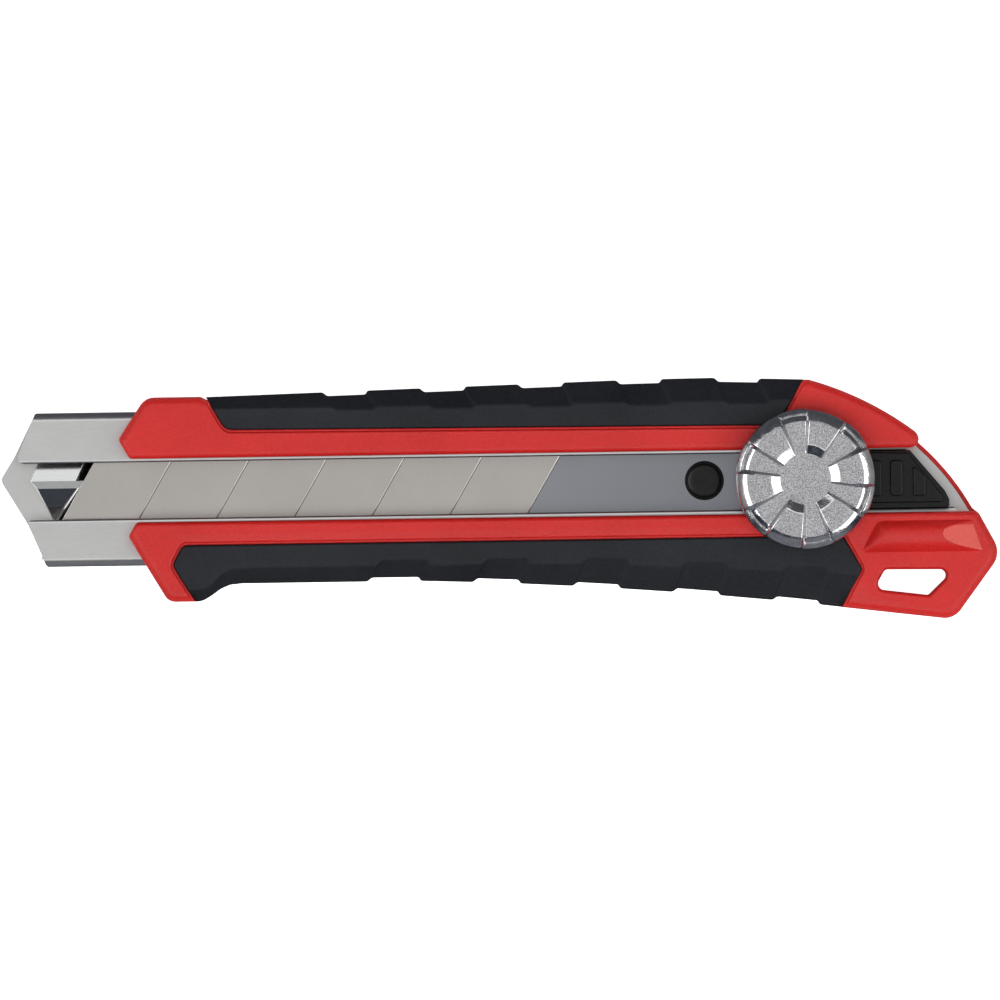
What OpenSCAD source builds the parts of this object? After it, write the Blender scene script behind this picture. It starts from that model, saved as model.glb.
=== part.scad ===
// Heavy-duty 25 mm snap-off utility knife with a wheel lock.
// Frame: X runs along the blade, nose at -X, butt at +X; Z is out of the front face.
// The origin lies on the flat back face, under the blade's centreline, at mid-length.

/* [Blade] */
// Width of the snap-off blade
blade_w = 25; // [24.6:0.1:25.2]
// Thickness of the blade
blade_t = 0.7; // [0.5:0.1:0.7]
// Distance from one score line to the next
segment_pitch = 14; // [13.8:0.1:14.1]
// Angle between the score lines and the cutting edge
snap_angle = 60; // [58:1:62]
// Depth of each V-shaped score line
score_depth = 0.25; // [0.1:0.05:0.3]
// Width of the ground bevel along the cutting edge
edge_w = 2.2; // [1.5:0.1:3]

/* [Channel] */
// Thickness of the stainless sheet
sheet = 1; // [0.8:0.1:1.1]
// Height of the folded channel, across the blade
channel_w = 27.7; // [27.5:0.1:27.9]
// Depth of the folded channel, front to back
channel_d = 5.4; // [5.3:0.1:5.6]
// Width of the slot between the two lips
slot_w = 10.2; // [10:0.1:10.4]
// Outside radius of the folds
fold_r = 1.6; // [1.2:0.1:1.8]

/* [Handle] */
// Thickness of the wall behind the channel
back_wall = 8; // [7:0.5:9]
// Thickness of the red rails in front of the channel
rail_t = 5.2; // [5:0.1:5.4]
// Gap between the two rails
window_w = 11.4; // [11.2:0.1:11.6]
// Height that the rubber stands above the rails
grip_proud = 0.4; // [0.2:0.1:0.5]
// Thickness of the rubber over the core, front and back
grip_t = 2; // [1.6:0.1:2.4]
// Step between a raised tread pad and a valley
tread_step = 0.7; // [0.4:0.1:0.8]
// Rounding of the red edges
edge_c = 0.8; // [0.5:0.1:0.9]

/* [Lock] */
// Diameter of the lock wheel across its raised sectors
wheel_d = 25.2; // [24:0.2:25.6]
// Height of the lock wheel
wheel_h = 8; // [7:0.5:9]
// Number of sectors on the wheel, half of them raised
wheel_sectors = 12; // [8:2:16]
// Diameter of the lock stud
stud_d = 5; // [4.6:0.1:5.2]

/* [Hidden] */
$fn = 64;
eps = 0.01;
far = 300;

// Heights above the back face
z_web = back_wall;
z_floor = z_web + sheet;
z_lip = z_web + channel_d - sheet;
z_lip_top = z_web + channel_d;
z_rail = z_lip_top + rail_t;
z_grip = z_rail + grip_proud;
z_block = z_rail - 0.7;
wave_t = 0.6;
flat_t = 0.6;
z_boss = z_block + wave_t + flat_t + 0.05;
z_wheel = z_boss + 0.5;
z_wheel_top = z_wheel + wheel_h;

// Across the blade
slot_y = -0.3;
slot_hi = slot_y + slot_w / 2;
slot_lo = slot_y - slot_w / 2;
win_hi = slot_y + window_w / 2;
win_lo = slot_y - window_w / 2;
half_channel = channel_w / 2;
cavity_y = half_channel + 0.1;
inside_y = half_channel - sheet;
fold_inner_r = max(fold_r - sheet, 0.1);

// Along the blade
segments = 7;
tip_x = -83;
peg_x = 37;
blade_end = 44;
stud_x = 55.1;
tongue_x = 29;
pocket_x0 = 47.3;
pocket_x1 = 62.9;
screw_xs = [-52, 66];

// Carriage and lock
peg_r = 3.2;
peg_neck_r = 2.2;
carrier_floor = z_floor + 0.3;
tongue_top = z_lip - 1.3;
blade_z = tongue_top + 0.2;
flange_top = z_lip - 0.3;
neck_gap = 0.25;
slide_gap = 0.3;
plate_t = 1.2;
stud_r = stud_d / 2;
head_r = 3.6;
head_h = 2.5;
head_z = z_wheel + 2;
nut_top = z_lip - 0.1;
nut_base = 2.4;
nut_boss = 0.9;

red = [0.80, 0.16, 0.15];
rubber = [0.13, 0.14, 0.15];
steel = [0.72, 0.72, 0.71];
dark = [0.10, 0.10, 0.11];

// ---------- outline helpers ----------

function unit(v) = v / norm(v);
function flat(lists) = [for (l = lists) for (p = l) p];

// Points of the arc that rounds corner p1 between p0 and p2
function fillet(p0, p1, p2, r, n) =
    let (a = unit(p0 - p1), b = unit(p2 - p1), half = acos(a * b) / 2,
         c = p1 + unit(a + b) * r / sin(half),
         s = p1 + a * r / tan(half) - c, e = p1 + b * r / tan(half) - c,
         from = atan2(s.y, s.x), turn = atan2(e.y, e.x) - from,
         sweep = turn > 180 ? turn - 360 : turn < -180 ? turn + 360 : turn)
    [for (i = [0:n]) c + r * [cos(from + sweep * i / n), sin(from + sweep * i / n)]];

// Polygon from corners [x, y, radius]; a corner with no radius stays sharp
function rounded(corners, inset = 0, n = 5) =
    let (m = len(corners), flat_pts = [for (c = corners) [c.x, c.y]], moved = inset_by(flat_pts, inset))
    flat([for (i = [0:m - 1])
        let (r = len(corners[i]) > 2 ? corners[i][2] : 0)
        r > 0 ? fillet(moved[(i + m - 1) % m], moved[i], moved[(i + 1) % m],
                       turns_in(flat_pts, i) ? r + inset : r - inset, n)
              : [moved[i]]]);

function cross2(a, b) = a.x * b.y - a.y * b.x;
function turns_in(pts, i) =
    let (m = len(pts), p = pts[i])
    cross2(p - pts[(i + m - 1) % m], pts[(i + 1) % m] - p) < 0;

// Moves every edge of a counter-clockwise outline inwards by d
function inset_by(pts, d) = [for (i = [0:len(pts) - 1])
    let (m = len(pts), p = pts[i],
         a = unit(p - pts[(i + m - 1) % m]), b = unit(pts[(i + 1) % m] - p),
         na = [-a.y, a.x], nb = [-b.y, b.x])
    p + (na + nb) * d / (1 + na * nb)];

function arc(c, r, from, to, n) =
    [for (i = [0:n]) let (a = from + (to - from) * i / n) c + r * [cos(a), sin(a)]];

// Closed solid through rings of equally many 3-D points, anticlockwise seen from the last ring
module skin(rings) {
    n = len(rings[0]);
    k = len(rings);
    sides = flat([for (j = [0:k - 2]) flat([for (i = [0:n - 1])
        let (a = j * n + i, b = j * n + (i + 1) % n)
        [[a, a + n, b], [b, a + n, b + n]]])]);
    first = [[for (i = [0:n - 1]) i]];
    last = [[for (i = [n - 1:-1:0]) (k - 1) * n + i]];
    polyhedron(flat(rings), concat(first, sides, last), convexity = 12);
}

// Solid through flat rings, each given as [height, points]
module loft(rings) { skin([for (r = rings) [for (p = r[1]) [p.x, p.y, r[0]]]]); }

// Upright slab whose top edge is chamfered by c
module slab(corners, z0, z1, c) {
    loft([[z0, rounded(corners)], [z1 - c, rounded(corners)], [z1, rounded(corners, c)]]);
}

module prism(points, z0, z1) {
    translate([0, 0, z0]) linear_extrude(z1 - z0) polygon(points);
}

module box(lo, hi) { translate(lo) cube(hi - lo); }

module rod(x, y, z0, z1, r) { translate([x, y, z0]) cylinder(h = z1 - z0, r = r); }

// ---------- outlines, in the front view ----------

rear_arc_c = [39.8, -37.8];
rear_arc_r = 58;
butt_arc_c = [45.8, -27.4];
butt_arc_r = 45;
upper_rear = arc(rear_arc_c, rear_arc_r, 53.5, 73.8, 6);
butt_arc = arc(butt_arc_c, butt_arc_r, 29, 48.5, 5);

lower_front = [[-66.8, -8.6, 1], [-59.7, -20.45, 2.2], [-54, -20.45]];
lower_rear = [[61.4, -23.15], [81.5, -25.6, 3.5], [90.2, -13.9, 4]];
upper_front = [[-52.5, 16.4], [-63.4, 16.4, 3], [-68.4, 8.9, 1]];

upper_rail_outline = concat(
    [[-66.4, win_hi, 1], [75.4, win_hi, 1.4], [75.55, 7.9, 2]], upper_rear, upper_front);
lower_rail_outline = concat(lower_front, lower_rear, [[86, win_lo - 0.2, 1.2], [-65.3, win_lo, 1]]);
back_outline = concat(lower_front, lower_rear, [[86.2, -6.4, 1.2]], butt_arc, upper_rear, upper_front);

upper_seam = [[-52.6, 16.5], [-49.1, 10.35, 2.2], [50.3, 9.8], [55, 17.95]];
lower_seam = [[61.4, -23.15], [65.1, -16.3, 0.6], [61.8, -10.3],
    [-57, -10.3, 1.2], [-58.9, -13.9, 1.2], [-54.9, -20.5]];

// ---------- handle ----------

// The core that the rubber is moulded round, seen from the front
upper_core = [[-70, 0], [70, 0], [70, 15.2], [-70, 15.2]];
lower_core = [[-70, 0], [-70, -15.3], [10, -15.6], [61.5, -20.4], [70, -20.4], [70, 0]];
upper_zone = concat([[-57, 24]], upper_seam, [[58.5, 24]]);
lower_zone = concat([[66, -32]], lower_seam, [[-48, -32]]);

module core(outline) { prism(outline, grip_t, z_grip - grip_t); }

module rubber_zone(zone, core_outline) {
    difference() {
        prism(rounded(zone), -1, z_grip + 1);
        core(core_outline);
    }
}

// Cord hole in the butt
lanyard = [[69.2, -16.45, 1], [67.2, -19.95, 1.2], [77.1, -21.2, 0.4], [81.9, -16.6, 1.1]];
// Raised rib that crosses the butt beside the carrier's tail
ridge_base = [[64.1, -12.9], [79.5, -12.9], [86.6, -12.9], [85.6, -7.3], [79.1, -7.3], [69.2, -7.3]];
ridge_top = [[66.8, -11.5], [79.1, -11.5], [79.6, -11.2], [79.6, -9], [79.1, -8.5], [69.6, -8.5]];
ridge_h = 1.4;

// Hollows moulded in the core behind the channel
pocket_pitch = 20;
pocket_l = 17;
pocket_y = 10.5;
pocket_floor = 2.6;
pocket_xs = [for (i = [0:4]) -36 + i * pocket_pitch];

// Recess in the back face
panel_lo = [6, -6.5];
panel_hi = [42, 6.5];
panel_t = 0.4;

// Counterbores of the channel screws
bore_r = 3;
bore_t = 2.8;

module handle_body() {
    color(red) difference() {
        union() {
            prism(rounded(back_outline), 0, z_web);
            slab(upper_rail_outline, z_web - eps, z_rail, edge_c);
            slab(lower_rail_outline, z_web - eps, z_rail, edge_c);
            loft([[z_rail - 0.5, ridge_base], [z_rail, ridge_base], [z_rail + ridge_h, ridge_top]]);
        }
        box([-far, -cavity_y, z_web], [far, cavity_y, z_lip_top + 0.1]);
        rubber_zone(upper_zone, upper_core);
        rubber_zone(lower_zone, lower_core);
        prism(rounded(lanyard, -edge_c / 2), z_rail - 0.4, z_rail + 2);
        prism(rounded(lanyard), -1, z_rail + 2);
        for (x = pocket_xs) box([x, -pocket_y, pocket_floor], [x + pocket_l, pocket_y, z_web + 1]);
        for (x = screw_xs) {
            rod(x, 0, -1, bore_t, bore_r);
            rod(x, 0, 0, z_web + 1, 1.6);
        }
        box([panel_lo.x, panel_lo.y, -1], [panel_hi.x, panel_hi.y, panel_t]);
    }
}

// ---------- rubber ----------

// Where the raised pads of each tread end at the silhouette, at a place along the handle
function upper_pad_y(x) =
    x < 21 ? 16.35 + (x + 52) * 0.026 :
    x < 38 ? 18.25 + (x - 21) * 0.015 : 18.5 - (x - 38) * 0.032;
function lower_pad_y(x) = let (t = max(x + 15, 0)) -17.3 - 0.03 * t - 0.0006 * t * t;

// Where the bevel meets the flat face
upper_line = 14.2;
function lower_line(x) = -14.5 - max(x - 15, 0) * 0.055;

bevel_h = 2.6;
lean = 1.8;
pad_count = 5;
pad_len = 9.4;
pad_ramp = 0.8;

// Tread as points of [x, 0 on a raised pad or 1 in a valley]: a long first pad, then equal ones
function tread(start, first_end, pad_x, pitch, end) =
    let (ends = [first_end, for (i = [0:pad_count - 2]) pad_x + i * pitch + pad_len])
    concat([[start, 0]],
        flat([for (i = [0:pad_count - 1]) [
            [ends[i], 0], [ends[i] + pad_ramp, 1],
            [pad_x + i * pitch - pad_ramp / 2, 1], [pad_x + i * pitch, 0]]]),
        [[end, 0]]);
upper_tread = tread(-60, -31.5, -23.4, 17.65, 60);
lower_tread = tread(-46.5, -23.9, -14.3, 17.95, 70);

// Outer edge of a grip at the silhouette (k = 0) and where its bevel meets the flat face (k = 1)
function lean_at(x) = abs(x) < 60 ? lean : 0;
function upper_edge(k) = [for (p = upper_tread) [p.x + lean_at(p.x) * k,
    (1 - k) * (upper_pad_y(p.x) - p.y * tread_step) + k * (upper_line - p.y * 0.5)]];
function lower_edge(k) = concat(stop_edge(k), [for (p = lower_tread) [p.x + lean_at(p.x) * k,
    (1 - k) * (lower_pad_y(p.x) + p.y * tread_step) + k * (lower_line(p.x) + p.y * 1.1)]]);

// Curved stop for the forefinger at the front of the lower grip
stop_tip = [[-62, -20.45], [-54.2, -20.45], [-53.3, -20.2], [-52, -19.4], [-50.4, -18.25], [-48.6, -17.5]];
function stop_edge(k) = [for (p = stop_tip) p + [lean_at(p.x) * k / 6, k * (p.x > -51 ? 2.8 : 2.1)]];

// One cross-section of a grip: its outer wall is bevelled front and back
function grip_ring(outer, face, y_in) = [
    [face.x, y_in, 0], [face.x, face.y, 0], [outer.x, outer.y, bevel_h],
    [outer.x, outer.y, z_grip - bevel_h], [face.x, face.y, z_grip], [face.x, y_in, z_grip]];
function reverse(list) = [for (i = [len(list) - 1:-1:0]) list[i]];

// The rubber fills its zone and wraps the core
module grip(outer, face, y_in, zone, core_outline) {
    rings = [for (i = [0:len(outer) - 1]) grip_ring(outer[i], face[i], y_in)];
    color(rubber) difference() {
        intersection() {
            skin(y_in > 0 ? rings : [for (r = rings) reverse(r)]);
            prism(rounded(zone), -1, z_grip + 1);
        }
        core(core_outline);
    }
}

module upper_grip() { grip(upper_edge(0), upper_edge(1), 4, upper_zone, upper_core); }
module lower_grip() { grip(lower_edge(0), lower_edge(1), -4, lower_zone, lower_core); }

// ---------- channel ----------

// Ends of the web and of the lips; both outlines run past the folds
past_fold = half_channel + 1;
web_outline = concat(
    [[-83.3, past_fold], [-83.3, half_channel], [-87.2, 6], [-89.8, 1.9, 1.5], [-84.9, -6.2]],
    [[-81.7, -half_channel], [-81.7, -past_fold], [87.6, -past_fold], [87.6, -half_channel], [84.8, -6.4]],
    arc(butt_arc_c, butt_arc_r - 0.8, 29.5, 47.5, 6),
    arc(rear_arc_c, rear_arc_r - 1.8, 51.5, 66.8, 4), [[61.5, past_fold]]);
lip_outline = concat(
    [[-83.2, past_fold], [-83.2, half_channel, 0.5], [-87.2, slot_hi, 1.2], [-70, slot_hi]],
    [[-70, slot_lo], [-85.1, slot_lo, 0.6], [-81.7, -half_channel, 0.8], [-81.7, -past_fold]],
    [[84.8, -past_fold], [84.8, -9], [81.8, slot_lo], [73.6, slot_hi]],
    [[66.8, half_channel - 2], [61.5, past_fold]]);

// The folded section, open between the lips, drawn with y across and z up
channel_section = rounded([
    [-half_channel, z_web, fold_r], [half_channel, z_web, fold_r],
    [half_channel, z_lip_top, fold_r], [slot_hi, z_lip_top], [slot_hi, z_lip],
    [inside_y, z_lip, fold_inner_r], [inside_y, z_floor, fold_inner_r],
    [-inside_y, z_floor, fold_inner_r], [-inside_y, z_lip, fold_inner_r],
    [slot_lo, z_lip], [slot_lo, z_lip_top], [-half_channel, z_lip_top, fold_r]]);

// Pressed ramp near the nose that carries the front of the blade
ramp_base = [[-85.4, 1.4], [-81, -5.7], [-79.4, -5.7], [-75.9, 0.2], [-74, 7.6], [-81.8, 7.6]];
ramp_top = [[-83.9, 1.5], [-82.8, 0.35], [-77.6, 0.35], [-77.1, 0.9], [-76.6, 1.6], [-83.7, 1.6]];

module channel_blank() {
    rotate([90, 0, 90]) linear_extrude(190, center = true) polygon(channel_section);
}

module blade_channel() {
    z_change = z_floor + 0.4;
    color(steel) difference() {
        union() {
            intersection() {
                channel_blank();
                union() {
                    prism(rounded(web_outline), z_web - 1, z_change);
                    prism(rounded(lip_outline), z_change - eps, z_lip_top + 1);
                }
            }
            loft([[z_floor - 0.3, ramp_base], [z_floor, ramp_base], [blade_z - 0.3, ramp_top]]);
        }
        for (x = screw_xs) rod(x, 0, z_web - 1, z_floor + 1, 1.55);
    }
}

module channel_screws() {
    color([0.45, 0.45, 0.46]) for (x = screw_xs) difference() {
        union() {
            rod(x, 0, 0.7, bore_t, bore_r - 0.3);
            rod(x, 0, bore_t - 0.1, z_floor, 1.5);
        }
        translate([x, 0, 0]) cylinder(h = 1.9, r = 1.25, $fn = 6);
    }
}

// ---------- blade ----------

half_blade = blade_w / 2;
slant = 1 / tan(snap_angle);
nose_x = tip_x + blade_w * slant;
blade_outline = [
    [tip_x + 0.25, -half_blade], [blade_end - 1, -half_blade], [blade_end, 1 - half_blade],
    [blade_end, half_blade - 1], [blade_end - 1, half_blade], [nose_x, half_blade],
    [tip_x + 0.1, 0.35 - half_blade]];

// V-shaped groove across the blade, centred at x
module score_line(x) {
    side = score_depth * sqrt(2);
    translate([x, 0, blade_z + blade_t]) rotate([0, 0, snap_angle]) rotate([45, 0, 0])
        cube([2 * blade_w, side, side], center = true);
}

// Material that is ground away from one face of the cutting edge
module ground_off() {
    rotate([90, 0, 90]) linear_extrude(200, center = true)
        polygon([[-1, 0.03], [0, 0.03], [edge_w, blade_t / 2], [edge_w, 1], [-1, 1]]);
}

module snap_blade() {
    color([0.66, 0.65, 0.63]) difference() {
        prism(blade_outline, blade_z, blade_z + blade_t);
        rod(peg_x, 0, blade_z - 1, blade_z + 2, peg_r + 0.2);
        for (i = [1:segments - 1]) score_line(tip_x + half_blade * slant + i * segment_pitch);
        for (side = [0, 1])
            translate([0, -half_blade, blade_z + blade_t / 2]) mirror([0, 0, side]) ground_off();
    }
}

// ---------- carriage ----------

neck_lo = slot_lo + neck_gap;
neck_hi = slot_hi - neck_gap;

// Tongue under the blade, tail beside the wheel, and the thumb ribs on the tail
tongue = [
    [tongue_x, -8], [tongue_x + 3, -11.6], [46, -11.6],
    [46, 11.6], [tongue_x + 3, 11.6], [tongue_x, 8]];
tail_neck = [
    [pocket_x1, neck_lo], [81, neck_lo], [81, -4],
    [80.2, -2.4], [73.4, neck_hi], [pocket_x1, neck_hi]];
tail = [
    [pocket_x1, win_lo + 0.5], [81, win_lo + 0.5], [81, -4],
    [80.2, -2.4], [74, win_hi - 0.45], [pocket_x1, win_hi - 0.45]];
tail_top = z_rail - 2;
rib_h = 0.6;
rib_l = 2.3;
rib_xs = [66.6, 70.4];
wedge_rib = [[74.5, -3.3], [76.8, -3.3], [76.8, 0.2], [75.1, 1.9], [74.5, 1.9]];

module carrier_body() {
    prism(tongue, carrier_floor, tongue_top);
    box([blade_end + 0.6, -12, carrier_floor], [64.8, 12, flange_top]);
    box([64.7, -7, carrier_floor], [71, 7, flange_top]);
    box([blade_end + 1, neck_lo, flange_top - eps], [pocket_x0, neck_hi, z_block]);
    box([blade_end + 1, win_lo + slide_gap, z_lip_top + 0.1], [66, win_hi - slide_gap, z_block]);
    prism(tail_neck, flange_top - eps, z_lip_top + 0.2);
    prism(tail, z_lip_top + 0.1, tail_top);
    for (x = rib_xs) box([x, -3.3, tail_top - eps], [x + rib_l, 3.2, tail_top + rib_h]);
    prism(wedge_rib, tail_top - eps, tail_top + rib_h);
}

module blade_carrier() {
    color(dark) difference() {
        carrier_body();
        // Room for the T-nut under the lips and the saddle plate on top of them
        box([pocket_x0, -7.8, carrier_floor - 1], [pocket_x1, 7.8, z_lip_top + 0.1]);
        box([pocket_x0, -9, z_lip_top], [pocket_x1, 9, z_lip_top + plate_t + 0.1]);
        rod(stud_x, 0, z_lip_top, z_rail + 2, stud_r + 0.15);
        rod(peg_x, 0, carrier_floor - 1, tongue_top + 1, peg_neck_r);
        rod(peg_x, 0, carrier_floor - 1, carrier_floor + 0.6, peg_r);
    }
}

module blade_peg() {
    shoulder_top = blade_z + blade_t + 0.3;
    color(dark) {
        rod(peg_x, 0, carrier_floor, carrier_floor + 0.6, peg_r - 0.1);
        rod(peg_x, 0, carrier_floor, tongue_top + eps, peg_neck_r);
        rod(peg_x, 0, tongue_top, shoulder_top, peg_r);
        translate([peg_x, 0, shoulder_top - eps]) cylinder(h = 0.4, r1 = peg_r, r2 = peg_r - 0.5);
    }
}

module saddle_plate() {
    lo = [pocket_x0 + 0.4, win_lo + slide_gap, z_lip_top + 0.1];
    hi = [pocket_x1 - 0.4, win_hi - slide_gap, z_lip_top + 0.1 + plate_t];
    color(steel) difference() {
        box(lo, hi);
        rod(stud_x, 0, lo.z - 1, hi.z + 1, stud_r + 0.15);
    }
}

module clamp_nut() {
    color([0.62, 0.61, 0.58]) difference() {
        union() {
            box([stud_x - 7, -7.5, nut_top - nut_base], [stud_x + 7, 7.5, nut_top]);
            box([stud_x - 6, slot_lo + slide_gap, nut_top - eps],
                [stud_x + 6, slot_hi - slide_gap, nut_top + nut_boss]);
        }
        rod(stud_x, 0, z_web, z_lip_top + 1, stud_r + 0.05);
    }
}

// ---------- lock ----------

// The stud's hexagonal head is moulded into the wheel
module lock_stud() {
    color(steel) {
        rod(stud_x, 0, z_floor + 0.25, head_z + head_h / 2, stud_r);
        translate([stud_x, 0, head_z]) cylinder(h = head_h, r = head_r, $fn = 6);
    }
}

washer_r = 5;
module washer(z, t) {
    difference() {
        rod(stud_x, 0, z, z + t, washer_r);
        rod(stud_x, 0, z - 1, z + t + 1, stud_r + 0.2);
    }
}

module flat_washer() { color(steel) washer(z_block + wave_t, flat_t); }

// Spring washer: a bowed band cut from a shallow ring
module wave_washer() {
    bow_r = 29;
    band = 0.25;
    color([0.5, 0.5, 0.52]) intersection() {
        washer(z_block, wave_t);
        translate([stud_x, 0, z_block + wave_t - bow_r]) rotate([90, 0, 0]) difference() {
            cylinder(h = 20, r = bow_r, center = true, $fn = 200);
            cylinder(h = 22, r = bow_r - band, center = true, $fn = 200);
        }
    }
}

// Wheel: a round core with raised lobes, and a low rim band in each gap between them
sector = 360 / wheel_sectors;
wheel_r = wheel_d / 2;
lobe_h = 0.9;
lobe_start = -5;
lobe_flare = 4;
z_low = z_wheel_top - lobe_h;
z_band = z_low - 1;

// Sector from radius r0, where it is cut straight, to an arc of radius r1, anticlockwise
function sector_outline(r0, r1, from, to) = concat(
    [for (a = [to, from]) r0 * [cos(a), sin(a)]], arc([0, 0], r1, from, to, 8));

// Raised lobe that starts at the angle from; its flanks flare out towards the foot
module lobe(from) {
    function ring(z, r0, r1, flare) = [z, sector_outline(r0, r1, from - flare, from + sector + flare)];
    loft([
        ring(z_wheel + 0.6, 4.5, wheel_r - 0.2, lobe_flare),
        ring(z_low - 1.2, 4.5, wheel_r - 0.2, lobe_flare),
        ring(z_low, 4.5, wheel_r - 0.7, lobe_flare),
        ring(z_low + 0.6 * lobe_h, 5.6, wheel_r - 1.4, 0.4 * lobe_flare),
        ring(z_wheel_top, 6.2, wheel_r - 2.3, 0)]);
}

module rim_band(from) {
    a = from + lobe_flare + 0.8;
    b = from + sector - lobe_flare - 0.8;
    outline = sector_outline(8, wheel_r, a, b);
    inner = sector_outline(8, wheel_r - 0.4, a, b);
    loft([[z_wheel + 0.3, inner], [z_wheel + 0.8, outline], [z_band - 0.4, outline], [z_band, inner]]);
}

// Half section of the wheel's round core, as [radius, height]
rim_r = wheel_r - 0.4;
core_section = [
    [0, z_boss], [washer_r, z_boss], [washer_r, z_wheel], [rim_r - 0.8, z_wheel], [rim_r, z_wheel + 0.8],
    [rim_r, z_band - 0.6], [rim_r - 1.3, z_band - 0.4], [rim_r - 1.6, z_low], [0, z_low]];

module lock_wheel() {
    color([0.80, 0.80, 0.81]) translate([stud_x, 0, 0]) difference() {
        union() {
            rotate_extrude($fn = 96) polygon(core_section);
            for (i = [0:2:wheel_sectors - 1]) {
                lobe(lobe_start + i * sector);
                rim_band(lobe_start + (i + 1) * sector);
            }
        }
        // Hollow underside, leaving the hub and the rim
        difference() {
            translate([0, 0, z_wheel - eps]) cylinder(h = 3.6, r = rim_r - 2.6);
            translate([0, 0, z_wheel - 1]) cylinder(h = 8, r = 6.2);
        }
        translate([0, 0, z_boss - 1]) cylinder(h = head_z + 2 - z_boss, r = stud_r);
        translate([0, 0, head_z]) cylinder(h = head_h, r = head_r, $fn = 6);
    }
}

handle_body();
upper_grip();
lower_grip();
blade_channel();
channel_screws();
snap_blade();
blade_carrier();
blade_peg();
saddle_plate();
clamp_nut();
lock_stud();
wave_washer();
flat_washer();
lock_wheel();
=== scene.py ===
"""Looks of the snap-off utility knife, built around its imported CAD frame."""

import math

import bmesh
import bpy
from mathutils import Matrix, Vector


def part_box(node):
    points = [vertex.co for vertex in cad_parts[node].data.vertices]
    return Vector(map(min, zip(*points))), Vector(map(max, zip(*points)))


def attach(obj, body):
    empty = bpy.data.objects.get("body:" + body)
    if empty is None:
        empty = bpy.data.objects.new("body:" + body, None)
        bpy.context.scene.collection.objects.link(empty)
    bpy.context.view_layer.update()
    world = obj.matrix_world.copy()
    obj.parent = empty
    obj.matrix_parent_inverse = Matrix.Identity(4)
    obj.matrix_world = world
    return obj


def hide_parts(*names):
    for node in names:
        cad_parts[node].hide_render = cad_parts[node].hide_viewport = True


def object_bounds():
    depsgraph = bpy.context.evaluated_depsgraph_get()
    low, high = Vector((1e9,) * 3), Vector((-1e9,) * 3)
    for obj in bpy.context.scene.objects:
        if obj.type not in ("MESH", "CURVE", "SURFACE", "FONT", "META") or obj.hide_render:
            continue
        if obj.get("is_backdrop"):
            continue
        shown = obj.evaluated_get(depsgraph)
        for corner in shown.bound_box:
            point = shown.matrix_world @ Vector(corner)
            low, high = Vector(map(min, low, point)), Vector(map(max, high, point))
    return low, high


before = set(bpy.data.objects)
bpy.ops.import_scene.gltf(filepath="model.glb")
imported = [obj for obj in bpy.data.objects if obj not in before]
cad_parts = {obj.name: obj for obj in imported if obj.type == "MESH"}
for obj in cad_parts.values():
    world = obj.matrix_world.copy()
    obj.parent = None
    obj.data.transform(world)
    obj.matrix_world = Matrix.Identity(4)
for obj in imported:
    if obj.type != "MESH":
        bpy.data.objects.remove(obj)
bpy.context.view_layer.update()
MM = 0.001

# ---------- sizes read from the frame, in millimetres ----------


def box_mm(node):
    low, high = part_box(node)
    return low / MM, high / MM


CHANNEL_LO, CHANNEL_HI = box_mm("blade_channel")
WHEEL_LO, WHEEL_HI = box_mm("lock_wheel")
PEG_LO, PEG_HI = box_mm("blade_peg")
BLADE_LO, BLADE_HI = box_mm("snap_blade")
CARRIER_FLOOR = box_mm("blade_carrier")[0].z

# Heights, from the back face up
SHEET = 1.0
GRIP_PROUD = 0.4
Z_WEB = CHANNEL_LO.z
Z_LIP_TOP = CHANNEL_HI.z
Z_LIP = Z_LIP_TOP - SHEET
Z_GRIP = box_mm("upper_grip")[1].z
Z_RAIL = Z_GRIP - GRIP_PROUD

# Across the knife: the slot between the channel's lips, and the window between the red rails
HALF_CHANNEL = CHANNEL_HI.y
SLOT_Y, SLOT_WIDTH, WINDOW_WIDTH = -0.3, 10.2, 11.4
SLOT_HI, SLOT_LO = SLOT_Y + SLOT_WIDTH / 2, SLOT_Y - SLOT_WIDTH / 2
WIN_HI, WIN_LO = SLOT_Y + WINDOW_WIDTH / 2, SLOT_Y - WINDOW_WIDTH / 2

# Along the knife
STUD_X = (WHEEL_LO.x + WHEEL_HI.x) / 2
PEG_X = (PEG_LO.x + PEG_HI.x) / 2
PEG_R = PEG_HI.x - PEG_X

# The blade, with its tip where it would be if the edge were not ground blunt by a tenth
TIP_X = BLADE_LO.x - 0.1
BLADE_END = BLADE_HI.x
SNAP = math.radians(60)
PITCH, SCORES = 14, 6
FIRST_SCORE_X = TIP_X + BLADE_HI.y / math.tan(SNAP) + PITCH
LAST_SCORE_X = FIRST_SCORE_X + (SCORES - 1) * PITCH

# ---------- outlines ----------


def fillet(p0, p1, p2, radius, steps):
    """Points of the arc that rounds corner p1 between p0 and p2."""
    a = (p0 - p1).normalized()
    b = (p2 - p1).normalized()
    half = a.angle(b) / 2
    centre = p1 + (a + b).normalized() * (radius / math.sin(half))
    start = p1 + a * (radius / math.tan(half)) - centre
    end = p1 + b * (radius / math.tan(half)) - centre
    turn = -start.angle_signed(end)
    return [centre + Matrix.Rotation(turn * i / steps, 2) @ start for i in range(steps + 1)]


def inset_by(points, d):
    """Moves every edge of an anticlockwise outline inwards by d."""
    moved = []
    for before, here, after in zip(points[-1:] + points[:-1], points, points[1:] + points[:1]):
        a = (here - before).normalized()
        b = (after - here).normalized()
        na, nb = Vector((-a.y, a.x)), Vector((-b.y, b.x))
        moved.append(here + (na + nb) * (d / (1 + na.dot(nb))))
    return moved


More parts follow.
